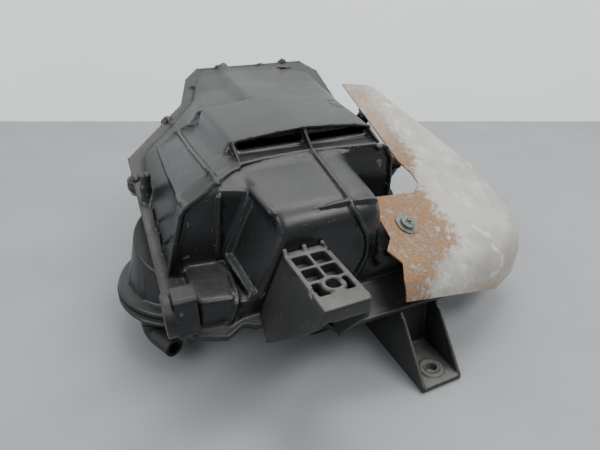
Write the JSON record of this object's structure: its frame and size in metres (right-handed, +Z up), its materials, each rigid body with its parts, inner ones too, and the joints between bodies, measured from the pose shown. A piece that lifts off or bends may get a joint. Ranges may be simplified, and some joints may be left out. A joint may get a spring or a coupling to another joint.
{
  "type": "air filter housing",
  "caption": "Moulded engine air filter housing with a lift-off cover, panel filter, round outlet neck, mounting bracket and foot, and a rusty steel heat shield.",
  "frame": {"origin": "on the ground, at the middle of the object's bounding box", "axes": "+Z up, +X towards the heat shield, -Y the front with bracket and foot"},
  "size_m": [0.361, 0.3753, 0.1813],
  "materials": {
    "housing_plastic": "moulded charcoal black, dusty, slightly glossy on rolled edges",
    "valve_plastic": "moulded black with a yellow paint mark",
    "shield_steel": "pale aluminised sheet with orange-brown rust along its edges",
    "zinc_steel": "dull zinc",
    "fibre_spacer": "matt heat-proof fibre",
    "rubber": "matt black",
    "filter_rubber": "soft orange foam rubber",
    "filter_paper": "pleated filter paper"
  },
  "bodies": {
    "base": {"lower_housing": "housing_plastic", "cover_screws": "zinc_steel", "outlet_neck": "housing_plastic", "neck_seal": "rubber", "breather_elbow": "rubber", "mounting_foot": "housing_plastic", "foot_sleeve": "zinc_steel"},
    "cover": {"upper_cover": "housing_plastic", "mounting_bracket": "housing_plastic", "heat_shield": "shield_steel", "shield_spacers": "fibre_spacer", "shield_washer": "zinc_steel", "shield_screw": "zinc_steel", "shield_studs": "zinc_steel", "valve_body": "valve_plastic", "valve_seal": "rubber", "valve_cap": "valve_plastic"},
    "filter": {"filter_seal": "filter_rubber", "filter_pleats": "filter_paper"}
  },
  "joints": [
    {"name": "cover_lift", "type": "slide", "parent": "base", "child": "cover", "axis": [0, -0.342, 0.9397], "range_m": [0, 0.15]},
    {"name": "filter_lift", "type": "slide", "parent": "base", "child": "filter", "axis": [0, -0.342, 0.9397], "range_m": [0, 0.075]}
  ],
  "couplings": [
    {"joint": "filter_lift", "follows": "cover_lift", "ratio": 0.5}
  ]
}
